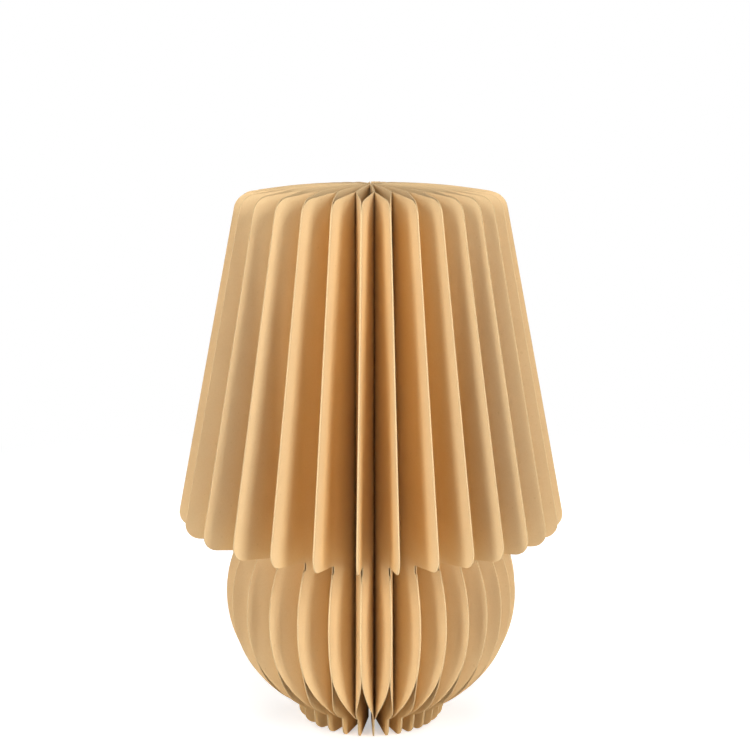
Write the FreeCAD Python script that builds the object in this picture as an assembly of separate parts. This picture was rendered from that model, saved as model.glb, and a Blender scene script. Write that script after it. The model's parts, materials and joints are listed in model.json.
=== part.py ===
import FreeCAD, Part
import math
import os

# Folding paper table lamp: a honeycomb fan of kraft paper leaves around a slim light stick.
# The fan is shown fully open, with its two cover boards meeting at the back (+Y).
# Millimetres, +Z up, origin on the table under the stick.

# Paper silhouette from the table up: foot, bulb-shaped base, slot of the neck, shade and crown.
# Radii are from the stick's axis, and each rise or setback starts from the point before it.
FOOT_RADIUS = 43.6
FOOT_FLARE = 1.3
FOOT_HEIGHT = 12.6
FOOT_CORNER = 6.5
BASE_RADIUS = 86.6
BASE_RISE = 65.9
BASE_TOP_SETBACK = 7.4
BASE_TOP_RISE = 32.1
NECK_SETBACK = 1.6
NECK_RISE = 0.3
NECK_SLOT = 4.5
NECK_CORNER = 1.2
SHADE_BOTTOM_RADIUS = 115.0
SHADE_BOTTOM_RISE = 6.3
SHADE_BOTTOM_CORNER = 9.0
SHADE_RISE = 192.6
SHADE_TOP_RADIUS = 77.2
SHADE_TOP_CORNER = 10.0
CROWN_SETBACK = 33.2
CROWN_RISE = 4.7
CROWN_ROUNDING = 220.0
PEAK_RISE = 1.0

# Fan of leaves: each leaf is two sheets, glued to each other outside the ridge line
LEAF_COUNT = 30
PAPER = 0.35
GLUE_LINE = 0.2
VALLEY_RADIUS = 50.0
RIDGE_RADIUS = 79.0
SEAM_ANGLE = 6.0
SPREAD_SWING_ANGLE = 9.0
SPREAD_RIPPLE_ANGLE = 2.0

# Light stick on the axis
TUBE_DIAMETER = 18.0
TUBE_WALL = 1.2
TUBE_BOTTOM = 10.0
TUBE_TOP_DROP = 20.0
CAP_FLANGE = 3.0
CAP_PLUG_DEPTH = 9.0
CAP_PLUG_WALL = 1.1
CAP_CLEARANCE = 0.1
LEAF_CLEARANCE = 0.4
TOP_HOLE_RADIUS = 6.5
TOP_HOLE_GAP = 1.0

# Cover boards, magnets and clips
COVER_THICKNESS = 1.8
SEAM_GAP = 0.2
COVER_CLEARANCE = 0.2
MAGNET_DIAMETER = 10.0
MAGNET_THICKNESS = 1.0
MAGNET_CLEARANCE = 0.1
MAGNET_EDGE_MARGIN = 9.0
BASE_MAGNET_DROP = 18.0
LOW_MAGNET_RISE = 33.0
HIGH_MAGNET_DROP = 28.2
CLIP_STEEL = 0.7
CLIP_BAND = 1.5
CLIP_HEIGHT = 8.0
CLIP_REACH = 14.0
CLIP_CLEARANCE = 0.05
LOW_CLIP_RISE = 45.0
HIGH_CLIP_DROP = 45.0
RIVET_DIAMETER = 2.4
RIVET_EDGE_MARGIN = 3.5

# Light source
BAR_WIDTH = 9.0
BAR_THICKNESS = 3.0
BAR_SEAT_DEPTH = 3.0
STRIP_WIDTH = 8.0
STRIP_THICKNESS = 0.8
STRIP_END_MARGIN = 6.0
CHIP_WIDTH = 3.5
CHIP_HEIGHT = 2.8
CHIP_THICKNESS = 0.9
CHIPS_PER_STRIP = 14

# Battery and charging
CELL_DIAMETER = 14.0
CELL_LENGTH = 49.0
CELL_NIPPLE_DIAMETER = 5.5
CELL_NIPPLE_LENGTH = 1.0
CONTACT_THICKNESS = 0.5
CONTACT_DIAMETER = 9.0
CONTACT_GAP = 0.1
HOLDER_END = 1.5
HOLDER_CLEARANCE = 0.1
BOARD_WIDTH = 12.0
BOARD_THICKNESS = 1.2
BOARD_LENGTH = 28.0
BOARD_GAP = 0.5
SOCKET_WIDTH = 8.94
SOCKET_THICKNESS = 3.2
SOCKET_LENGTH = 7.3
SOCKET_WALL = 0.3
SOCKET_DEPTH = 6.2
SOCKET_TONGUE_WIDTH = 6.7
SOCKET_TONGUE_THICKNESS = 0.7
SOCKET_CLEARANCE = 0.15
SWITCH_SIDE = 6.0
SWITCH_THICKNESS = 3.6
BUTTON_DIAMETER = 4.2
BUTTON_PROUD = 0.8
BUTTON_CLEARANCE = 0.2
BUTTON_COLLAR = 0.7
BUTTON_COLLAR_HEIGHT = 0.8
BUTTON_TRAVEL = 0.5
BUTTON_SPARE = 0.2
CHARGER_SIDE = 4.0
CHARGER_THICKNESS = 1.2
CHARGER_SPACING = 6.0

# Cuts run past the faces that they open by this much
OVERRUN = 1.0

# Sizes worked out from the ones above
FOOT_TOP_RADIUS = FOOT_RADIUS + FOOT_FLARE
BASE_HEIGHT = FOOT_HEIGHT + BASE_RISE
BASE_TOP_RADIUS = BASE_RADIUS - BASE_TOP_SETBACK
BASE_TOP_HEIGHT = BASE_HEIGHT + BASE_TOP_RISE
NECK_RADIUS = BASE_TOP_RADIUS - NECK_SETBACK
NECK_HEIGHT = BASE_TOP_HEIGHT + NECK_RISE
NECK_TOP_HEIGHT = NECK_HEIGHT + NECK_SLOT
SHADE_BOTTOM_HEIGHT = NECK_TOP_HEIGHT + SHADE_BOTTOM_RISE
SHADE_TOP_HEIGHT = SHADE_BOTTOM_HEIGHT + SHADE_RISE
CROWN_RADIUS = SHADE_TOP_RADIUS - CROWN_SETBACK
CROWN_HEIGHT = SHADE_TOP_HEIGHT + CROWN_RISE
HEIGHT = CROWN_HEIGHT + PEAK_RISE
TUBE_TOP = HEIGHT - TUBE_TOP_DROP
TUBE_RADIUS = TUBE_DIAMETER / 2
BORE_RADIUS = TUBE_RADIUS - TUBE_WALL
PLUG_RADIUS = BORE_RADIUS - CAP_CLEARANCE
BAND_RADIUS = TUBE_RADIUS + CLIP_CLEARANCE + CLIP_BAND
CAVITY_RADIUS = BAND_RADIUS + LEAF_CLEARANCE
CAP_BOTTOM = TUBE_BOTTOM - CAP_FLANGE
CAP_TOP = TUBE_TOP + CAP_FLANGE
TOP_HOLE_BOTTOM = CAP_TOP + TOP_HOLE_GAP
COVER_NEAR = SEAM_GAP / 2
COVER_FAR = COVER_NEAR + COVER_THICKNESS
COVER_INNER = (COVER_FAR + COVER_CLEARANCE + GLUE_LINE / 2) / math.sin(math.radians(SEAM_ANGLE))
MAGNET_HEIGHTS = (
    BASE_HEIGHT - BASE_MAGNET_DROP,
    SHADE_BOTTOM_HEIGHT + LOW_MAGNET_RISE,
    SHADE_TOP_HEIGHT - HIGH_MAGNET_DROP,
)
CLIP_HEIGHTS = (TUBE_BOTTOM + LOW_CLIP_RISE, TUBE_TOP - HIGH_CLIP_DROP)

X = FreeCAD.Vector(1, 0, 0)
Y = FreeCAD.Vector(0, 1, 0)
Z = FreeCAD.Vector(0, 0, 1)


def vec(x, y, z):
    return FreeCAD.Vector(x, y, z)


def box(x0, x1, y0, y1, z0, z1):
    return Part.makeBox(x1 - x0, y1 - y0, z1 - z0, vec(x0, y0, z0))


def rod(radius, z0, z1, y=0.0):
    return Part.makeCylinder(radius, z1 - z0, vec(0, y, z0), Z)


def save(name, shapes):
    group = shapes if isinstance(shapes, list) else [shapes]
    solids = [solid for shape in group for solid in shape.Solids]
    whole = solids[0] if len(solids) == 1 else Part.makeCompound(solids)
    whole.exportStep("parts/" + name + ".step")


def rounded(before, corner, after, radius):
    """The arc of that radius at a corner between two straight runs."""
    back = (before - corner).normalize()
    ahead = (after - corner).normalize()
    half_turn = back.getAngle(ahead) / 2
    reach = radius / math.tan(half_turn)
    bisector = (back + ahead).normalize()
    middle = corner + bisector * (radius / math.sin(half_turn) - radius)
    return Part.Arc(corner + back * reach, middle, corner + ahead * reach)


def outline(inner):
    """The half silhouette in the XZ plane, from its inner edge to its rim, as one face."""
    bottom = vec(inner, 0, 0)
    foot_top = vec(FOOT_TOP_RADIUS, 0, FOOT_HEIGHT)
    base_top = vec(BASE_TOP_RADIUS, 0, BASE_TOP_HEIGHT)
    bulge = Part.Arc(foot_top, vec(BASE_RADIUS, 0, BASE_HEIGHT), base_top)
    neck_low = vec(NECK_RADIUS, 0, NECK_HEIGHT)
    neck_high = vec(NECK_RADIUS, 0, NECK_TOP_HEIGHT)
    shade_low = vec(SHADE_BOTTOM_RADIUS, 0, SHADE_BOTTOM_HEIGHT)
    shade_high = vec(SHADE_TOP_RADIUS, 0, SHADE_TOP_HEIGHT)
    crown = vec(CROWN_RADIUS, 0, CROWN_HEIGHT)
    top = vec(inner, 0, HEIGHT)
    corners = [
        rounded(bottom, vec(FOOT_RADIUS, 0, 0), foot_top, FOOT_CORNER),
        bulge,
        rounded(base_top, neck_low, neck_high, NECK_CORNER),
        rounded(neck_low, neck_high, shade_low, NECK_CORNER),
        rounded(neck_high, shade_low, shade_high, SHADE_BOTTOM_CORNER),
        rounded(shade_low, shade_high, crown, SHADE_TOP_CORNER),
        rounded(shade_high, crown, top, CROWN_ROUNDING),
    ]
    edges = []
    here = bottom
    for arc in corners:
        if here.distanceToPoint(arc.StartPoint) > Part.Precision.confusion():
            edges.append(Part.makeLine(here, arc.StartPoint))
        edges.append(arc.toShape())
        here = arc.EndPoint
    edges.append(Part.makeLine(here, top))
    edges.append(Part.makeLine(top, bottom))
    return Part.Face(Part.Wire(edges))


def spoke_angle(share):
    """Angle from the fixed cover to the glue line at a share of the leaf count.
    The paper opens wider on one side than on the other."""
    turn = math.radians(360.0 * share)
    swing = SPREAD_SWING_ANGLE * (1 - math.cos(turn))
    ripple = SPREAD_RIPPLE_ANGLE * math.sin(2 * turn)
    return SEAM_ANGLE + (360.0 - 2 * SEAM_ANGLE) * share + swing - ripple


def sheet(silhouette, half_angle, side):
    """One die-cut sheet: spoke from the stick to the valley, slope to the ridge, and fin."""
    along = vec(math.cos(half_angle), side * math.sin(half_angle), 0)
    inward = vec(math.sin(half_angle), -side * math.cos(half_angle), 0)
    start = TOP_HOLE_RADIUS - OVERRUN
    rim = SHADE_BOTTOM_RADIUS + OVERRUN
    outer = inward * (GLUE_LINE / 2)
    inner = inward * (GLUE_LINE / 2 + PAPER)
    points = [
        along * start + outer,
        along * VALLEY_RADIUS + outer,
        vec(RIDGE_RADIUS, side * PAPER, 0),
        vec(rim, side * PAPER, 0),
        vec(rim, 0, 0),
        vec(RIDGE_RADIUS, 0, 0),
        along * VALLEY_RADIUS + inner,
        along * start + inner,
    ]
    plan = Part.Face(Part.makePolygon(points + points[:1]))
    return plan.extrude(Z * HEIGHT).common(silhouette)


def leaf(number, silhouette):
    """Two mirrored sheets, turned to their place in the fan. The fan is counted anticlockwise
    from the back seam, seen from above, starting beside the fixed cover."""
    first = spoke_angle((number - 1) / LEAF_COUNT)
    last = spoke_angle(number / LEAF_COUNT)
    half_angle = math.radians(last - first) / 2
    sheets = [sheet(silhouette, half_angle, side) for side in (1, -1)]
    for each in sheets:
        each.rotate(vec(0, 0, 0), Z, 90.0 + (first + last) / 2)
    return sheets


def make_leaves():
    face = outline(TOP_HOLE_RADIUS - OVERRUN)
    half_width = VALLEY_RADIUS
    face.translate(Y * -half_width)
    cavity = rod(CAVITY_RADIUS, -OVERRUN, TOP_HOLE_BOTTOM)
    top_hole = rod(TOP_HOLE_RADIUS, -OVERRUN, HEIGHT + OVERRUN)
    silhouette = face.extrude(Y * (2 * half_width)).cut(cavity.fuse(top_hole))
    for number in range(1, LEAF_COUNT + 1):
        save("leaf_%02d" % number, leaf(number, silhouette))


def magnet_place(height):
    """Distance of a closure magnet from the axis, a margin inside the cover's rim."""
    if height > SHADE_BOTTOM_HEIGHT:
        rise = (height - SHADE_BOTTOM_HEIGHT) / (SHADE_TOP_HEIGHT - SHADE_BOTTOM_HEIGHT)
        rim = SHADE_BOTTOM_RADIUS + rise * (SHADE_TOP_RADIUS - SHADE_BOTTOM_RADIUS)
    else:
        rim = BASE_TOP_RADIUS
    return rim - MAGNET_EDGE_MARGIN - MAGNET_DIAMETER / 2


def cover_magnets(radius, depth):
    """Discs let into the seam face of the cover on the -X side."""
    places = [vec(-COVER_NEAR, magnet_place(height), height) for height in MAGNET_HEIGHTS]
    return [Part.makeCylinder(radius, depth, place, X * -1) for place in places]


def cover_board():
    """Cover board on the -X side of the seam, with pockets for its magnets."""
    face = outline(COVER_INNER)
    face.rotate(vec(0, 0, 0), Z, 90.0)
    face.translate(X * -COVER_NEAR)
    board = face.extrude(X * -COVER_THICKNESS)
    pocket_radius = MAGNET_DIAMETER / 2 + MAGNET_CLEARANCE
    pockets = cover_magnets(pocket_radius, MAGNET_THICKNESS + MAGNET_CLEARANCE)
    return board.cut(Part.makeCompound(pockets))


def mirrored(shape):
    return shape.mirror(vec(0, 0, 0), X)


def clip(height, slack):
    """Steel band round the tube, with a tongue that lies in the fixed cover's seam face."""
    low = height - CLIP_HEIGHT / 2 - slack
    high = height + CLIP_HEIGHT / 2 + slack
    band = rod(BAND_RADIUS, low, high)
    tongue_end = COVER_INNER + CLIP_REACH + slack
    tongue = box(-COVER_NEAR - CLIP_STEEL - slack, -COVER_NEAR, 0, tongue_end, low, high)
    bore = rod(TUBE_RADIUS + CLIP_CLEARANCE, low - OVERRUN, high + OVERRUN)
    return band.fuse(tongue).removeSplitter().cut(bore)


def rivet_places():
    near = COVER_INNER + RIVET_EDGE_MARGIN
    far = COVER_INNER + CLIP_REACH - RIVET_EDGE_MARGIN
    return [vec(-COVER_NEAR, y, height) for height in CLIP_HEIGHTS for y in (near, far)]


def rivets(radius):
    return [Part.makeCylinder(radius, COVER_THICKNESS, place, X * -1) for place in rivet_places()]


def make_covers():
    holes = Part.makeCompound(rivets(RIVET_DIAMETER / 2))
    fixed = cover_board()
    for height in CLIP_HEIGHTS:
        fixed = fixed.cut(clip(height, CLIP_CLEARANCE))
    save("fixed_cover", fixed.cut(holes))
    save("moving_cover", mirrored(cover_board()))
    magnets = cover_magnets(MAGNET_DIAMETER / 2, MAGNET_THICKNESS)
    save("fixed_cover_magnets", magnets)
    save("moving_cover_magnets", [mirrored(magnet) for magnet in magnets])
    save("stick_clips", [clip(height, 0.0).cut(holes) for height in CLIP_HEIGHTS])
    save("clip_rivets", rivets(RIVET_DIAMETER / 2))


# Places along the stick, from the bottom up
COLLAR_BOTTOM = TUBE_BOTTOM + CONTACT_GAP
BUTTON_TOP = COLLAR_BOTTOM + BUTTON_COLLAR_HEIGHT
BOARD_BOTTOM = BUTTON_TOP + BUTTON_TRAVEL + BUTTON_SPARE
BOARD_TOP = BOARD_BOTTOM + BOARD_LENGTH
HOLDER_BOTTOM = BOARD_TOP + BOARD_GAP
PLATE_BOTTOM = HOLDER_BOTTOM + HOLDER_END
CELL_BOTTOM = PLATE_BOTTOM + CONTACT_THICKNESS + CONTACT_GAP
CELL_TOP = CELL_BOTTOM + CELL_LENGTH
NIPPLE_TOP = CELL_TOP + CELL_NIPPLE_LENGTH
PLATE_TOP = NIPPLE_TOP + CONTACT_GAP + CONTACT_THICKNESS
HOLDER_TOP = PLATE_TOP + HOLDER_END
HOLDER_RADIUS = BORE_RADIUS - HOLDER_CLEARANCE
BAR_BOTTOM = HOLDER_TOP + CONTACT_GAP
PLUG_BOTTOM = TUBE_TOP - CAP_PLUG_DEPTH
BAR_TOP = PLUG_BOTTOM + BAR_SEAT_DEPTH
SOCKET_NEAR = BOARD_THICKNESS / 2
SOCKET_FAR = SOCKET_NEAR + SOCKET_THICKNESS
SWITCH_FAR = -BOARD_THICKNESS / 2 - SWITCH_THICKNESS
BUTTON_Y = (SWITCH_FAR - BOARD_THICKNESS / 2) / 2


def make_stick_shell():
    tube = rod(TUBE_RADIUS, TUBE_BOTTOM, TUBE_TOP)
    save("diffuser_tube", tube.cut(rod(BORE_RADIUS, TUBE_BOTTOM - OVERRUN, TUBE_TOP + OVERRUN)))

    flange = rod(TUBE_RADIUS, CAP_BOTTOM, TUBE_BOTTOM)
    plug = rod(PLUG_RADIUS, TUBE_BOTTOM, TUBE_BOTTOM + CAP_PLUG_DEPTH)
    hollow = rod(PLUG_RADIUS - CAP_PLUG_WALL, TUBE_BOTTOM, TUBE_BOTTOM + CAP_PLUG_DEPTH + OVERRUN)
    slot_half = SOCKET_WIDTH / 2 + SOCKET_CLEARANCE
    slot = box(
        -slot_half,
        slot_half,
        SOCKET_NEAR - SOCKET_CLEARANCE,
        SOCKET_FAR + SOCKET_CLEARANCE,
        CAP_BOTTOM - OVERRUN,
        TUBE_BOTTOM + OVERRUN,
    )
    button_bore = rod(
        BUTTON_DIAMETER / 2 + BUTTON_CLEARANCE,
        CAP_BOTTOM - OVERRUN,
        TUBE_BOTTOM + OVERRUN,
        y=BUTTON_Y,
    )
    bottom = flange.fuse(plug).cut(hollow).cut(slot).cut(button_bore)
    save("bottom_cap", bottom)

    top_plug = rod(PLUG_RADIUS, PLUG_BOTTOM, TUBE_TOP)
    top = rod(TUBE_RADIUS, TUBE_TOP, CAP_TOP).fuse(top_plug)
    seat = box(
        -BAR_WIDTH / 2 - CAP_CLEARANCE,
        BAR_WIDTH / 2 + CAP_CLEARANCE,
        -BAR_THICKNESS / 2 - CAP_CLEARANCE,
        BAR_THICKNESS / 2 + CAP_CLEARANCE,
        PLUG_BOTTOM - OVERRUN,
        BAR_TOP + CAP_CLEARANCE,
    )
    save("top_cap", top.cut(seat))


def make_light():
    half = BAR_WIDTH / 2
    deep = BAR_THICKNESS / 2
    save("led_bar", box(-half, half, -deep, deep, BAR_BOTTOM, BAR_TOP))
    low = BAR_BOTTOM + STRIP_END_MARGIN
    high = PLUG_BOTTOM - STRIP_END_MARGIN
    front = deep + STRIP_THICKNESS
    strip = box(-STRIP_WIDTH / 2, STRIP_WIDTH / 2, deep, front, low, high)
    save("led_strips", [strip, strip.mirror(vec(0, 0, 0), Y)])
    step = (high - low) / CHIPS_PER_STRIP
    chips = []
    for number in range(CHIPS_PER_STRIP):
        middle = low + step * (number + 0.5)
        chip = box(
            -CHIP_WIDTH / 2,
            CHIP_WIDTH / 2,
            front,
            front + CHIP_THICKNESS,
            middle - CHIP_HEIGHT / 2,
            middle + CHIP_HEIGHT / 2,
        )
        chips += [chip, chip.mirror(vec(0, 0, 0), Y)]
    save("led_chips", chips)


def make_battery():
    cell = rod(CELL_DIAMETER / 2, CELL_BOTTOM, CELL_TOP)
    nipple = rod(CELL_NIPPLE_DIAMETER / 2, CELL_TOP, NIPPLE_TOP)
    save("battery_cell", cell.fuse(nipple))
    holder = rod(HOLDER_RADIUS, HOLDER_BOTTOM, HOLDER_TOP)
    bed_radius = CELL_DIAMETER / 2 + HOLDER_CLEARANCE
    bed = rod(bed_radius, PLATE_BOTTOM, PLATE_TOP)
    open_side = box(-TUBE_RADIUS, TUBE_RADIUS, 0, TUBE_RADIUS, PLATE_BOTTOM, PLATE_TOP)
    save("battery_holder", holder.cut(bed).cut(open_side))
    low_plate = rod(CONTACT_DIAMETER / 2, PLATE_BOTTOM, PLATE_BOTTOM + CONTACT_THICKNESS)
    high_plate = rod(CONTACT_DIAMETER / 2, PLATE_TOP - CONTACT_THICKNESS, PLATE_TOP)
    save("battery_contacts", [low_plate, high_plate])


def make_charger():
    half = BOARD_WIDTH / 2
    deep = BOARD_THICKNESS / 2
    save("charge_board", box(-half, half, -deep, deep, BOARD_BOTTOM, BOARD_TOP))

    wide = SOCKET_WIDTH / 2
    socket_top = CAP_BOTTOM + SOCKET_LENGTH
    shell = box(-wide, wide, SOCKET_NEAR, SOCKET_FAR, CAP_BOTTOM, socket_top)
    upright = [edge for edge in shell.Edges if abs(edge.tangentAt(edge.FirstParameter).z) > 0.5]
    shell = shell.makeFillet(SOCKET_THICKNESS / 2 - SOCKET_WALL, upright)
    inner_wide = wide - SOCKET_WALL
    mouth_top = CAP_BOTTOM + SOCKET_DEPTH
    mouth = box(
        -inner_wide,
        inner_wide,
        SOCKET_NEAR + SOCKET_WALL,
        SOCKET_FAR - SOCKET_WALL,
        CAP_BOTTOM,
        mouth_top,
    )
    inner_edges = [edge for edge in mouth.Edges if abs(edge.tangentAt(edge.FirstParameter).z) > 0.5]
    mouth = mouth.makeFillet(SOCKET_THICKNESS / 2 - 2 * SOCKET_WALL, inner_edges)
    middle = (SOCKET_NEAR + SOCKET_FAR) / 2
    tongue = box(
        -SOCKET_TONGUE_WIDTH / 2,
        SOCKET_TONGUE_WIDTH / 2,
        middle - SOCKET_TONGUE_THICKNESS / 2,
        middle + SOCKET_TONGUE_THICKNESS / 2,
        CAP_BOTTOM + SOCKET_WALL,
        mouth_top,
    )
    save("usb_socket", shell.cut(mouth).fuse(tongue))

    side = SWITCH_SIDE / 2
    switch_top = BOARD_BOTTOM + SWITCH_SIDE
    save("button_switch", box(-side, side, SWITCH_FAR, -deep, BOARD_BOTTOM, switch_top))

    stem = rod(BUTTON_DIAMETER / 2, CAP_BOTTOM - BUTTON_PROUD, BUTTON_TOP, y=BUTTON_Y)
    collar_radius = BUTTON_DIAMETER / 2 + BUTTON_COLLAR
    collar = rod(collar_radius, COLLAR_BOTTOM, BUTTON_TOP, y=BUTTON_Y)
    save("power_button", stem.fuse(collar))

    chip_half = CHARGER_SIDE / 2
    chips = []
    for number in (1, 2):
        middle = BOARD_TOP - number * CHARGER_SPACING
        chip = box(
            -chip_half,
            chip_half,
            deep,
            deep + CHARGER_THICKNESS,
            middle - chip_half,
            middle + chip_half,
        )
        chips.append(chip)
    save("charge_chips", chips)


os.makedirs("parts", exist_ok=True)
make_leaves()
make_covers()
make_stick_shell()
make_light()
make_battery()
make_charger()
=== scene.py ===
import json
import math
import random

import bmesh
import bpy
from mathutils import Matrix, Vector


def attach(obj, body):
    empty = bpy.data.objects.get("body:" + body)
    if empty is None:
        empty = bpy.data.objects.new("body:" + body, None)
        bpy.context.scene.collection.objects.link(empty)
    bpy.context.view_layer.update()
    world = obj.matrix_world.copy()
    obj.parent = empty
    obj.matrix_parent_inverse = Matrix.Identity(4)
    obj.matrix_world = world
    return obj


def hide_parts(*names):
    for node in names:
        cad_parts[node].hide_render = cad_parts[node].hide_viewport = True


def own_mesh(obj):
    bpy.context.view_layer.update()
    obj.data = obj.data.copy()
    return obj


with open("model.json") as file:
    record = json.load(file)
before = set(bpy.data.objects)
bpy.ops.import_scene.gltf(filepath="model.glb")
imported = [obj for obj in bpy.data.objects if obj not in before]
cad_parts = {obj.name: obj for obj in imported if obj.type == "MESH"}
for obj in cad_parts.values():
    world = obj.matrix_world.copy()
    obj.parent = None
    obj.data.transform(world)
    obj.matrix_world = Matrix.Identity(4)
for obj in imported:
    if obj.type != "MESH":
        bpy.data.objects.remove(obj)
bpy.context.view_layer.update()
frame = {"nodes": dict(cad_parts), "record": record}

# Folding table lamp: a honeycomb fan of kraft paper leaves round a slim light stick.
# Metres, +Z up, the seam of the two cover boards at the back (+Y).

# Die-cut outline of one sheet, from the table up, as radius from the stick and height
FOOT_RADIUS = 0.0436
FOOT_TOP_RADIUS = 0.0449
FOOT_HEIGHT = 0.0126
FOOT_CORNER = 0.0065
BASE_RADIUS = 0.0866
BASE_HEIGHT = 0.0785
BASE_TOP_RADIUS = 0.0792
BASE_TOP_HEIGHT = 0.1106
NECK_RADIUS = 0.0776
NECK_HEIGHT = 0.1109
NECK_TOP_HEIGHT = 0.1154
NECK_CORNER = 0.0012
SHADE_BOTTOM_RADIUS = 0.115
SHADE_BOTTOM_HEIGHT = 0.1217
SHADE_BOTTOM_CORNER = 0.009
SHADE_TOP_RADIUS = 0.0772
SHADE_TOP_HEIGHT = 0.3143
SHADE_TOP_CORNER = 0.01
CROWN_RADIUS = 0.044
CROWN_HEIGHT = 0.319
CROWN_ROUNDING = 0.22
HEIGHT = 0.32
SHADE_LEAN = (SHADE_BOTTOM_RADIUS - SHADE_TOP_RADIUS) / (SHADE_TOP_HEIGHT - SHADE_BOTTOM_HEIGHT)
CAVITY_RADIUS = 0.01095
TOP_HOLE_RADIUS = 0.0065
TOP_HOLE_BOTTOM = 0.304
CORNER_SEGMENTS = 7
BULGE_STEPS = 26

# The fan
LEAF_COUNT = 30
PAPER = 0.00035
GLUE_LINE = 0.0002
VALLEY_RADIUS = 0.05
RIDGE_FOOT_RADIUS = 0.0814
RIDGE_TOP_RADIUS = 0.0754
SEAM_ANGLE = 6.0
SPREAD_SWING_ANGLE = 9.0
SPREAD_RIPPLE_ANGLE = 2.0
FULL_TURN = 360.0
BACK_ANGLE = 90.0

# How the paper bends: each wall runs level from the valley to a shoulder, then in to the ridge.
# The shoulder fades out towards the top.
SHOULDER_SHARE = 0.47
SHOULDER_BEND_SHARE = 0.1
RIDGE_BEND = 0.0006
RIDGE_MARGIN = 0.0035
SCORE_STEP = 0.009
BEND_STEP = 0.002
FIN_STEP = 0.007
MERGE_DISTANCE = 1e-6
LEAF_SEED = 11

# Faces that look less than this share to their leaf's side are cut edges
EDGE_SHARE = 0.5

# Painted shade: the paper takes a darker, more saturated tone inside these radii in the base,
# inside these in the shade, counted along its slant from the shade's bottom, and below these
# heights at the crown
BASE_PAINTED_SHADE_SPAN = (0.045, 0.085)
LAMPSHADE_PAINTED_SHADE_SPAN = (0.09, 0.112)
CROWN_PAINTED_SHADE_SPAN = (0.295, 0.315)

X_AXIS = Vector((1, 0, 0))
Y_AXIS = Vector((0, 1, 0))
Z_AXIS = Vector((0, 0, 1))


class Wire:
    """A shader socket. Sums, differences and products of wires add the Math nodes they need."""

    def __init__(self, tree, socket=None):
        self.tree = tree
        self.socket = socket

    def node(self, kind, settings=None, inputs=None, output=0):
        """Adds any node: its settings first, then the values or wires of its sockets."""
        made = self.tree.nodes.new("ShaderNode" + kind)
        for name, value in (settings or {}).items():
            setattr(made, name, value)
        for name, value in (inputs or {}).items():
            if isinstance(value, Wire):
                self.tree.links.new(value.socket, made.inputs[name])
            else:
                made.inputs[name].default_value = value
        return Wire(self.tree, made.outputs[output] if made.outputs else None)

    def math(self, operation, first, second):
        return self.node("Math", {"operation": operation}, {0: first, 1: second})

    def __add__(self, other):
        return self.math("ADD", self, other)

    def __radd__(self, other):
        return self.math("ADD", other, self)

    def __sub__(self, other):
        return self.math("SUBTRACT", self, other)

    def __rsub__(self, other):
        return self.math("SUBTRACT", other, self)

    def __mul__(self, other):
        return self.math("MULTIPLY", self, other)

    def noise(self, place, scale, detail, roughness):
        inputs = {"Vector": place, "Scale": scale, "Detail": detail, "Roughness": roughness}
        return self.node("TexNoise", {}, inputs)

    def span(self, low, high):
        """This value from 0 at low to 1 at high, eased at both ends."""
        settings = {"interpolation_type": "SMOOTHSTEP"}
        return self.node("MapRange", settings, {"Value": self, "From Min": low, "From Max": high})

    def blend(self, first, second):
        """A colour between the two, by this value."""
        settings = {"data_type": "RGBA"}
        return self.node("Mix", settings, {0: self, 6: first, 7: second}, 2)


def finish(name, paint, metallic=0.0, coat=0.0, specular=0.5):
    """A material with the colour, roughness and bump that a paint function gives."""
    made = bpy.data.materials.new(name)
    made.use_nodes = True
    tree = made.node_tree
    tree.nodes.clear()
    start = Wire(tree)
    look = paint(start)
    bump = {"Strength": look["strength"], "Distance": look["depth"], "Height": look["height"]}
    inputs = {
        "Base Color": look["colour"],
        "Roughness": look["roughness"],
        "Metallic": metallic,
        "Coat Weight": coat,
        "Specular IOR Level": specular,
        "Normal": start.node("Bump", {}, bump),
    }
    shader = start.node("BsdfPrincipled", {}, inputs)
    start.node("OutputMaterial", {}, {"Surface": shader})
    return made


# Scales of texture coordinates
EVEN = (1.0, 1.0, 1.0)
PLAN = (1.0, 1.0, 0.0)
FIBRE_STRETCH = (1.0, 0.16, 0.16)

# Values between which a grain goes from dark to pale, a fleck shows and a copper track ends
GRAIN_SPAN = (0.3, 0.7)
FLECK_SPAN = (0.70, 0.80)
TRACK_SPAN = (0.34, 0.4)

# Tones of the paper, of painted shade on the paper deep in the fan, of cut edges and of solder mask
KRAFT_FLECK = (0.50, 0.32, 0.14, 1)
KRAFT_MIDDLE = (0.725, 0.515, 0.272, 1)
KRAFT_PALE = (0.765, 0.56, 0.308, 1)
PAINTED_SHADE_MIDDLE = (0.725, 0.465, 0.195, 1)
PAINTED_SHADE_PALE = (0.765, 0.51, 0.23, 1)
EDGE_MIDDLE = (0.59, 0.42, 0.22, 1)
EDGE_PALE = (0.67, 0.485, 0.26, 1)
MASK_DARK = (0.012, 0.085, 0.035, 1)
MASK_PALE = (0.04, 0.2, 0.08, 1)

# What each texture adds to the tone
CLOUD_SHARE = 0.25
PULP_SHARE = 0.4
FIBRE_SHARE = 0.35
FLECK_SHARE = 0.2
GRAIN_SHARE = 0.6
STAIN_SHARE = 0.4
PATCH_SHARE = 0.7
TEXTURE_SHARE = 0.3
COPPER_SHARE = 0.6
MASK_PATCH_SHARE = 0.2

# Least roughness of each finish, and what its textures add
KRAFT_ROUGHNESS = 0.78
PULP_ROUGHNESS = 0.18
EDGE_ROUGHNESS = 0.9
EDGE_PULP_ROUGHNESS = 0.05
METAL_ROUGHNESS = 0.24
GRAIN_ROUGHNESS = 0.16
STAIN_ROUGHNESS = 0.12
MASK_ROUGHNESS = 0.3
PATCH_ROUGHNESS = 0.1

# How high the fibres stand against the pulp
FIBRE_RELIEF = 0.5


def stretched(start, source, scale):
    """Texture coordinates drawn out along one or two directions."""
    place = start.node("TexCoord", {}, {}, source)
    return start.node("Mapping", {}, {"Vector": place, "Scale": scale})


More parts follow.
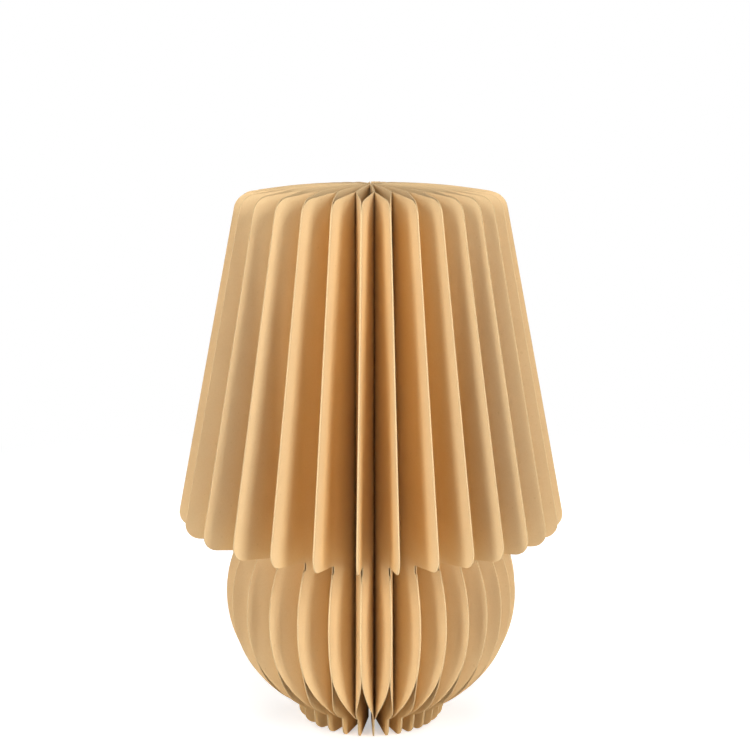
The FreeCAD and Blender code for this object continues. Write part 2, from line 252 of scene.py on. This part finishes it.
def painted_shade_in_fan(start):
    """Painted shade: 1 far in among the leaves, 0 along the cut margin and at the crown."""
    plan = stretched(start, "Object", PLAN)
    reach = start.node("VectorMath", {"operation": "LENGTH"}, {0: plan}, "Value")
    place = start.node("TexCoord", {}, {}, "Object")
    height = start.node("SeparateXYZ", {}, {"Vector": place}, "Z")
    slant = reach + (height - SHADE_BOTTOM_HEIGHT) * SHADE_LEAN
    above = height.span(NECK_HEIGHT, SHADE_BOTTOM_HEIGHT)
    base_painted_shade = 1 - reach.span(*BASE_PAINTED_SHADE_SPAN)
    lampshade_painted_shade = 1 - slant.span(*LAMPSHADE_PAINTED_SHADE_SPAN)
    return (base_painted_shade * (1 - above) + lampshade_painted_shade * above) * (1 - height.span(*CROWN_PAINTED_SHADE_SPAN))


def kraft(source):
    """Unbleached paper: a cloudy tone, long fibres and dark flecks, with a painted shade of darker,
    more saturated tone far in among the leaves.
    """

    def paint(start):
        flat = stretched(start, source, EVEN)
        cloud = start.noise(flat, scale=55.0, detail=3.0, roughness=0.55)
        drawn = stretched(start, source, FIBRE_STRETCH)
        fibre = start.noise(drawn, scale=2600.0, detail=3.0, roughness=0.6)
        pulp = start.noise(flat, scale=900.0, detail=4.0, roughness=0.65)
        fleck = start.noise(flat, scale=420.0, detail=1.0, roughness=0.4).span(*FLECK_SPAN)
        mix = cloud * CLOUD_SHARE + pulp * PULP_SHARE + fibre * FIBRE_SHARE
        # Painted shade: a darker, more saturated paper tone among the leaves, the plain tone along
        # the lit margin and at the crown
        painted_shade = painted_shade_in_fan(start)
        middle = painted_shade.blend(KRAFT_MIDDLE, PAINTED_SHADE_MIDDLE)
        pale = painted_shade.blend(KRAFT_PALE, PAINTED_SHADE_PALE)
        clean = mix.span(*GRAIN_SPAN).blend(middle, pale)
        return {
            "colour": (fleck * FLECK_SHARE).blend(clean, KRAFT_FLECK),
            "roughness": KRAFT_ROUGHNESS + pulp * PULP_ROUGHNESS,
            "height": fibre * FIBRE_RELIEF + pulp,
            "depth": 0.00012,
            "strength": 0.35,
        }

    return paint


def cut_edge(start):
    """The raw edge of cut paper, a little darker than its face."""
    pulp = start.noise(stretched(start, "Object", EVEN), scale=1500.0, detail=3.0, roughness=0.6)
    return {
        "colour": pulp.span(*GRAIN_SPAN).blend(EDGE_MIDDLE, EDGE_PALE),
        "roughness": EDGE_ROUGHNESS + pulp * EDGE_PULP_ROUGHNESS,
        "height": pulp,
        "depth": 0.0001,
        "strength": 0.3,
    }


def plated(dark, pale, brush):
    """Rolled or brushed metal with a fine grain and faint stains."""

    def paint(start):
        drawn = stretched(start, "Object", brush)
        flat = stretched(start, "Object", EVEN)
        grain = start.noise(drawn, scale=2400.0, detail=3.0, roughness=0.6)
        stain = start.noise(flat, scale=160.0, detail=3.0, roughness=0.6)
        mix = grain * GRAIN_SHARE + stain * STAIN_SHARE
        return {
            "colour": mix.span(*GRAIN_SPAN).blend(dark, pale),
            "roughness": METAL_ROUGHNESS + grain * GRAIN_ROUGHNESS + stain * STAIN_ROUGHNESS,
            "height": grain,
            "depth": 0.00005,
            "strength": 0.25,
        }

    return paint


def moulded(dark, pale, rough, speck):
    """Moulded plastic or lacquer: fine texture and slightly uneven gloss."""

    def paint(start):
        place = stretched(start, "Object", EVEN)
        texture = start.noise(place, scale=speck, detail=2.0, roughness=0.5)
        patch = start.noise(place, scale=90.0, detail=3.0, roughness=0.6)
        mix = patch * PATCH_SHARE + texture * TEXTURE_SHARE
        return {
            "colour": mix.span(*GRAIN_SPAN).blend(dark, pale),
            "roughness": rough - PATCH_ROUGHNESS / 2 + patch * PATCH_ROUGHNESS,
            "height": texture,
            "depth": 0.00006,
            "strength": 0.3,
        }

    return paint


def circuit(start):
    """Solder mask over copper tracks, with tinned pads."""
    place = stretched(start, "Object", EVEN)
    cells = {"distance": "MANHATTAN", "feature": "F1"}
    copper = start.node("TexVoronoi", cells, {"Vector": place, "Scale": 420.0}).span(*TRACK_SPAN)
    patch = start.noise(place, scale=200.0, detail=2.0, roughness=0.5)
    return {
        "colour": (copper * COPPER_SHARE + patch * MASK_PATCH_SHARE).blend(MASK_DARK, MASK_PALE),
        "roughness": MASK_ROUGHNESS + patch * PATCH_ROUGHNESS,
        "height": copper,
        "depth": 0.00004,
        "strength": 0.4,
    }


# By the record's slot: the finish's name, its dark and pale tones, and how its grain is stretched
METALS = {
    "magnet": ("nickel_plate", (0.5, 0.49, 0.46, 1), (0.72, 0.71, 0.68, 1), EVEN),
    "clip_steel": ("spring_steel", (0.36, 0.36, 0.37, 1), (0.6, 0.6, 0.61, 1), (0.05, 0.05, 1)),
    "bar_aluminium": ("drawn_aluminium", (0.6, 0.6, 0.61, 1), (0.8, 0.8, 0.81, 1), (1, 1, 0.03)),
    "contact_nickel": ("spring_nickel", (0.52, 0.5, 0.46, 1), (0.74, 0.72, 0.68, 1), (1, 0.1, 1)),
    "socket_steel": ("stamped_steel", (0.42, 0.42, 0.43, 1), (0.66, 0.66, 0.67, 1), (1, 1, 0.1)),
}

# By slot: the finish's name, its dark and pale tones, roughness, texture scale and clear coat
PLASTICS = {
    "opal_plastic": ("opal_tube", (0.82, 0.80, 0.75, 1), (0.92, 0.90, 0.86, 1), 0.45, 1800.0, 0.0),
    "black_plastic": (
        "black_moulding", (0.012, 0.012, 0.013, 1), (0.03, 0.03, 0.032, 1), 0.55, 2400.0, 0.0,
    ),
    "strip_white": ("white_strip", (0.78, 0.78, 0.75, 1), (0.88, 0.88, 0.86, 1), 0.4, 1500.0, 0.0),
    "led_phosphor": ("phosphor_gel", (0.82, 0.58, 0.14, 1), (0.95, 0.78, 0.3, 1), 0.3, 3200.0, 0.0),
    "cell_wrap": ("cell_sleeve", (0.03, 0.1, 0.2, 1), (0.05, 0.16, 0.3, 1), 0.3, 600.0, 0.4),
}

paper_face = finish("kraft_paper", kraft("UV"), specular=0.25)
paper_edge = finish("kraft_cut_edge", cut_edge, specular=0.2)
slot_finishes = {
    "cover_board": finish("kraft_board", kraft("Object"), specular=0.25),
    "board_green": finish("solder_mask", circuit, coat=0.3),
}
for slot, (name, dark, pale, brush) in METALS.items():
    slot_finishes[slot] = finish(name, plated(dark, pale, brush), metallic=1.0)
for slot, (name, dark, pale, rough, speck, coat) in PLASTICS.items():
    slot_finishes[slot] = finish(name, moulded(dark, pale, rough, speck), coat=coat)


def dress_frame():
    """Gives each solid that stays in view the finish of its slot in the record."""
    for row in frame["record"]["subparts"]:
        if row["material_slot"] in slot_finishes:
            node = frame["nodes"][row["node"]]
            node.data.materials.clear()
            node.data.materials.append(slot_finishes[row["material_slot"]])


def circle_centre(a, b, c):
    """Centre of the circle through three points of the XZ plane."""
    first = (a + b) / 2
    second = (b + c) / 2
    across = Y_AXIS.cross(b - a)
    over = Y_AXIS.cross(c - b)
    share = (second - first).cross(over).dot(Y_AXIS) / across.cross(over).dot(Y_AXIS)
    return first + across * share


def corner_reach(before, corner, after, radius):
    """How far along its two runs a corner of that radius starts."""
    turn = math.pi - (before - corner).angle(after - corner)
    return radius * math.tan(turn / 2)


def cut_sheet():
    """The flat sheet in the XZ plane, as one face with rounded corners."""
    bm = bmesh.new()
    foot_top = Vector((FOOT_TOP_RADIUS, 0, FOOT_HEIGHT))
    bulge = Vector((BASE_RADIUS, 0, BASE_HEIGHT))
    base_top = Vector((BASE_TOP_RADIUS, 0, BASE_TOP_HEIGHT))
    places = ((CAVITY_RADIUS, 0, 0), (FOOT_RADIUS, 0, 0), foot_top)
    heel = [bm.verts.new(place) for place in places]
    centre = circle_centre(foot_top, bulge, base_top)
    turn = (foot_top - centre).angle(base_top - centre)
    swept = bmesh.ops.spin(bm, geom=heel[2:], cent=centre, axis=-Y_AXIS, angle=turn,
                           steps=BULGE_STEPS)
    rim = [item for item in swept["geom_last"] if isinstance(item, bmesh.types.BMVert)]
    for radius, height in (
        (NECK_RADIUS, NECK_HEIGHT),
        (NECK_RADIUS, NECK_TOP_HEIGHT),
        (SHADE_BOTTOM_RADIUS, SHADE_BOTTOM_HEIGHT),
        (SHADE_TOP_RADIUS, SHADE_TOP_HEIGHT),
        (CROWN_RADIUS, CROWN_HEIGHT),
        (TOP_HOLE_RADIUS, HEIGHT),
        (TOP_HOLE_RADIUS, TOP_HOLE_BOTTOM),
        (CAVITY_RADIUS, TOP_HOLE_BOTTOM),
    ):
        rim.append(bm.verts.new((radius, 0, height)))
    for chain in (heel, rim, [rim[-1], heel[0]]):
        for first, second in zip(chain, chain[1:]):
            bm.edges.new((first, second))
    bmesh.ops.contextual_create(bm, geom=bm.edges[:])
    roundings = (NECK_CORNER, NECK_CORNER, SHADE_BOTTOM_CORNER, SHADE_TOP_CORNER, CROWN_ROUNDING)
    corners = [(*heel, FOOT_CORNER), *zip(rim, rim[1:], rim[2:], roundings)]
    reaches = [
        (at, corner_reach(before.co, at.co, after.co, radius))
        for before, at, after, radius in corners
    ]
    for at, reach in reaches:
        bmesh.ops.bevel(bm, geom=[at], offset=reach, offset_type="ABSOLUTE", affect="VERTICES",
                        segments=CORNER_SEGMENTS, profile=0.5, material=-1)
    return bm


def score(bm, place, across, **sides):
    """Cuts every face along one plane. With clear_outer or clear_inner, that side is dropped."""
    everything = bm.verts[:] + bm.edges[:] + bm.faces[:]
    bmesh.ops.bisect_plane(bm, geom=everything, dist=MERGE_DISTANCE, plane_co=place,
                           plane_no=across, **sides)


def steps(start, end, step):
    """Even places between two ends, about a step apart."""
    count = round((end - start) / step)
    return [start + (end - start) * number / count for number in range(1, count)]


def flat_sheet(inside):
    """The flat sheet inside or outside the ridge line, scored where the paper will bend."""
    bm = cut_sheet()
    low = Vector((RIDGE_FOOT_RADIUS + RIDGE_MARGIN, 0, 0))
    high = Vector((RIDGE_TOP_RADIUS + RIDGE_MARGIN, 0, HEIGHT))
    score(bm, low, (high - low).cross(-Y_AXIS), clear_outer=inside, clear_inner=not inside)
    if inside:
        bends = steps(VALLEY_RADIUS - SCORE_STEP, low.x, BEND_STEP)
    else:
        bends = steps(high.x, SHADE_BOTTOM_RADIUS, FIN_STEP)
    for radius in bends:
        score(bm, X_AXIS * radius, X_AXIS)
    for height in steps(0.0, HEIGHT, SCORE_STEP):
        score(bm, Z_AXIS * height, Z_AXIS)
    flat = bm.loops.layers.uv.new("flat")
    for face in bm.faces:
        for loop in face.loops:
            loop[flat].uv = loop.vert.co.xz
    mesh = bpy.data.meshes.new("flat_sheet")
    bm.to_mesh(mesh)
    bm.free()
    return mesh


def spoke_angle(share):
    """Angle from the fixed cover to the glue line at a share of the leaf count, in degrees."""
    swing = SPREAD_SWING_ANGLE * (1 - math.cos(math.tau * share))
    ripple = SPREAD_RIPPLE_ANGLE * math.sin(2 * math.tau * share)
    return SEAM_ANGLE + (FULL_TURN - 2 * SEAM_ANGLE) * share + swing - ripple


def lower_of(first, second, bend):
    """The lower of two lengths, rounded off where they differ by less than the bend."""
    near = max(0.0, bend - abs(first - second))
    return min(first, second) - (near * near / bend / 4 if near else 0.0)


def plan_curve(radius, height, half_angle):
    """Distance of a sheet's outer face from the leaf's middle plane, at a radius and a height."""
    spread = math.tan(half_angle)
    valley = VALLEY_RADIUS * math.cos(half_angle)
    gap = GLUE_LINE / 2 / math.cos(half_angle)
    if radius <= valley:
        return radius * spread - gap
    rise = height / HEIGHT
    ridge = RIDGE_FOOT_RADIUS + rise * (RIDGE_TOP_RADIUS - RIDGE_FOOT_RADIUS)
    shoulder = valley + SHOULDER_SHARE * (1 - rise) * (ridge - valley)
    level = valley * spread - gap
    slope = PAPER + (level - PAPER) * (ridge - radius) / (ridge - shoulder)
    wall = lower_of(level, slope, SHOULDER_BEND_SHARE * (radius - valley))
    return -lower_of(-PAPER, -wall, RIDGE_BEND)


def leaf_piece(number, flat, kind):
    """Two mirrored sheets of one leaf, bent, given their thickness and turned to their place."""
    first = spoke_angle((number - 1) / LEAF_COUNT)
    last = spoke_angle(number / LEAF_COUNT)
    half_angle = math.radians(last - first) / 2
    chance = random.Random(LEAF_SEED * number)
    bm = bmesh.new()
    for side in (1, -1):
        sheet = bmesh.new()
        sheet.from_mesh(flat)
        layer = sheet.loops.layers.uv.active
        shift = Vector((chance.random(), chance.random()))
        for face in sheet.faces:
            for loop in face.loops:
                loop[layer].uv += shift
        for vert in sheet.verts:
            vert.co.y = side * plan_curve(vert.co.x, vert.co.z, half_angle)
        outward = Y_AXIS * side
        if sum((face.normal for face in sheet.faces), Vector()).dot(outward) < 0:
            bmesh.ops.reverse_faces(sheet, faces=sheet.faces[:])
        sheet.normal_update()
        bmesh.ops.solidify(sheet, geom=sheet.faces[:], thickness=PAPER)
        part = bpy.data.meshes.new("sheet")
        sheet.to_mesh(part)
        sheet.free()
        bm.from_mesh(part)
        bpy.data.meshes.remove(part)
    bm.normal_update()
    for face in bm.faces:
        rim = abs(face.normal.y) < EDGE_SHARE
        face.material_index = int(rim)
        face.smooth = not rim
        if rim:
            for edge in face.edges:
                edge.smooth = False
    turn = Matrix.Rotation(math.radians(BACK_ANGLE + (first + last) / 2), 4, "Z")
    bmesh.ops.transform(bm, matrix=turn, verts=bm.verts[:])
    name = "leaf_%02d" % number
    mesh = bpy.data.meshes.new(name + kind)
    bm.to_mesh(mesh)
    bm.free()
    mesh.materials.append(paper_face)
    mesh.materials.append(paper_edge)
    piece = bpy.data.objects.new(name + kind, mesh)
    bpy.context.scene.collection.objects.link(piece)
    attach(piece, name)
    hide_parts(name)
    return piece, turn @ Y_AXIS


def make_leaves():
    """All leaves, each as a bent cell inside the ridge line and a flat fin outside it."""
    cell = flat_sheet(True)
    fin = flat_sheet(False)
    for number in range(1, LEAF_COUNT + 1):
        piece, across = leaf_piece(number, cell, "_cell")
        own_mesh(piece)
        leaf_piece(number, fin, "_fin")


# Studio
CAMERA_AZIMUTH = 5.0
CAMERA_DISTANCE = 0.86
CAMERA_HEIGHT = 0.3666
CAMERA_PITCH = 10.43
LEVEL_VIEW_ANGLE = 90.0
CAMERA_LENS = 71.47
CAMERA_SHIFT = 0.00527
FLOOR_SIZE = 6.0
FLOOR_NEAR = 0.35
FLOOR_FAR = 0.8
FLOOR_COLOUR = (0.86, 0.86, 0.85, 1)
FLOOR_ROUGHNESS = 0.8
FLOOR_GLOW = 0.5
AMBIENT = 0.015
BLACK = (0, 0, 0, 1)
WHITE = (1, 1, 1, 1)
BACKGROUND_RAYS = ("Is Camera Ray", "Is Glossy Ray", "Is Transmission Ray")

# Name, azimuth and elevation in degrees, distance, width and height in metres, watts
SOFT_BOXES = (
    ("left_box", -38.0, 20.0, 1.6, 0.5, 1.2, 17.0),
    ("right_box", 38.0, 20.0, 1.6, 0.5, 1.2, 20.5),
    ("top_box", 0.0, 80.0, 1.5, 1.0, 1.0, 8.0),
    ("left_back_box", -142.0, 6.0, 1.6, 0.25, 0.9, 13.0),
    ("right_back_box", 142.0, 6.0, 1.6, 0.25, 0.9, 13.0),
)


def seen_directly(start):
    """1 for rays that show the background itself, also in metal and through glass."""
    camera, glossy, through = [start.node("LightPath", {}, {}, ray) for ray in BACKGROUND_RAYS]
    return start.math("MAXIMUM", start.math("MAXIMUM", camera, glossy), through)


def make_world():
    """White where the background itself is seen, and a faint even light for all else."""
    world = bpy.data.worlds.new("studio")
    world.use_nodes = True
    bpy.context.scene.world = world
    tree = world.node_tree
    tree.nodes.clear()
    start = Wire(tree)
    level = AMBIENT + seen_directly(start) * (1 - AMBIENT)
    glow = start.node("Background", {}, {"Color": WHITE, "Strength": level})
    start.node("OutputWorld", {}, {"Surface": glow})


def make_floor():
    """A pale floor that keeps the lamp's shadow near the foot and turns plain white far out."""
    bm = bmesh.new()
    bmesh.ops.create_grid(bm, x_segments=1, y_segments=1, size=FLOOR_SIZE / 2)
    mesh = bpy.data.meshes.new("floor")
    bm.to_mesh(mesh)
    bm.free()
    floor = bpy.data.objects.new("floor", mesh)
    bpy.context.scene.collection.objects.link(floor)
    pale = bpy.data.materials.new("pale_floor")
    pale.use_nodes = True
    tree = pale.node_tree
    tree.nodes.clear()
    start = Wire(tree)
    place = start.node("TexCoord", {}, {}, "Object")
    distance = start.node("VectorMath", {"operation": "LENGTH"}, {0: place}, "Value")
    far = distance.span(FLOOR_NEAR, FLOOR_FAR)
    seen = seen_directly(start)
    white = start.node("Emission", {}, {"Color": WHITE, "Strength": 1.0})
    inputs = {
        "Base Color": FLOOR_COLOUR,
        "Roughness": FLOOR_ROUGHNESS,
        "Emission Color": (seen * FLOOR_GLOW).blend(BLACK, WHITE),
        "Emission Strength": 1.0,
    }
    matt = start.node("BsdfPrincipled", {}, inputs)
    shader = start.node("MixShader", {}, {0: far * seen, 1: matt, 2: white})
    start.node("OutputMaterial", {}, {"Surface": shader})
    mesh.materials.append(pale)


def soft_box(name, azimuth, elevation, distance, width, height, watts):
    """A soft light aimed at the middle of the lamp; azimuth is counted from the camera's side."""
    turn = math.radians(azimuth + CAMERA_AZIMUTH)
    rise = math.radians(elevation)
    level = Vector((math.sin(turn), -math.cos(turn), 0)) * math.cos(rise)
    away = level + Z_AXIS * math.sin(rise)
    data = bpy.data.lights.new(name, "AREA")
    data.shape = "RECTANGLE"
    data.size = width
    data.size_y = height
    data.energy = watts
    light = bpy.data.objects.new(name, data)
    light.location = Vector((0, 0, HEIGHT / 2)) + away * distance
    light.rotation_euler = away.to_track_quat("Z", "Y").to_euler()
    bpy.context.scene.collection.objects.link(light)


def make_camera():
    """The camera stands in front of the lamp, a little to the right, and looks slightly down."""
    turn = math.radians(CAMERA_AZIMUTH)
    data = bpy.data.cameras.new("camera")
    data.lens = CAMERA_LENS
    data.shift_x = CAMERA_SHIFT
    camera = bpy.data.objects.new("camera", data)
    camera.location = (
        CAMERA_DISTANCE * math.sin(turn),
        -CAMERA_DISTANCE * math.cos(turn),
        CAMERA_HEIGHT,
    )
    camera.rotation_euler = (math.radians(LEVEL_VIEW_ANGLE - CAMERA_PITCH), 0.0, turn)
    bpy.context.scene.collection.objects.link(camera)
    bpy.context.scene.camera = camera


dress_frame()
make_leaves()
make_world()
make_floor()
for box in SOFT_BOXES:
    soft_box(*box)
make_camera()
bpy.context.scene.view_settings.view_transform = "Standard"
